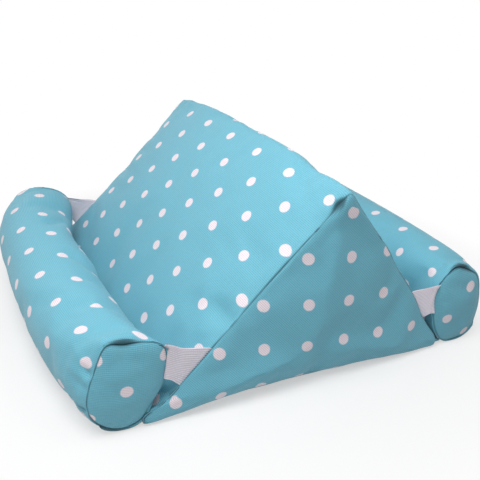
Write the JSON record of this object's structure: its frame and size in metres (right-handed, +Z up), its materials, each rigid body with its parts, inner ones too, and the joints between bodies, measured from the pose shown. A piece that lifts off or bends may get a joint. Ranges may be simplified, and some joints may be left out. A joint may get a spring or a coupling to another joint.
{
  "type": "tablet cushion stand",
  "caption": "Stuffed fabric wedge that props a tablet on either slope, with a hinged padded bolster along each edge, held by elastic straps, in dotted cloth.",
  "frame": {"origin": "on the floor, below the middle of the stand's bounding box", "axes": "+Z up, -Y towards the side from which the front slope is used, +X to that reader's right"},
  "size_m": [0.3116, 0.3494, 0.1509],
  "materials": {
    "cover_cloth": "woven, light blue with off-white dots",
    "base_cloth": "woven, light blue",
    "elastic": "ribbed knitted elastic, off-white",
    "filling": "loose polyester fibre"
  },
  "bodies": {
    "wedge": {"wedge_slope_cover": "cover_cloth", "wedge_base_panel": "base_cloth", "wedge_right_end_panel": "cover_cloth", "wedge_left_end_panel": "cover_cloth", "wedge_filling": "filling", "front_right_strap": "elastic", "front_left_strap": "elastic", "rear_right_strap": "elastic", "rear_left_strap": "elastic", "front_hinge_web": "base_cloth", "rear_hinge_web": "base_cloth"},
    "front_bolster": {"front_bolster_tube_cover": "cover_cloth", "front_bolster_right_cap": "cover_cloth", "front_bolster_left_cap": "cover_cloth", "front_bolster_filling": "filling"},
    "rear_bolster": {"rear_bolster_tube_cover": "cover_cloth", "rear_bolster_right_cap": "cover_cloth", "rear_bolster_left_cap": "cover_cloth", "rear_bolster_filling": "filling"}
  },
  "joints": [
    {"name": "front_hinge", "type": "hinge", "parent": "wedge", "child": "front_bolster", "pos_m": [0, -0.11878, 0.003], "axis": [1, 0, 0], "range_deg": [0, 15], "stiffness_Nm_per_rad": 1.2, "springref_deg": -8.59, "deforming": ["front_right_strap", "front_left_strap", "front_hinge_web"]},
    {"name": "rear_hinge", "type": "hinge", "parent": "wedge", "child": "rear_bolster", "pos_m": [0, 0.12122, 0.003], "axis": [-1, 0, 0], "range_deg": [0, 15], "stiffness_Nm_per_rad": 1.2, "springref_deg": -8.59, "deforming": ["rear_right_strap", "rear_left_strap", "rear_hinge_web"]}
  ]
}
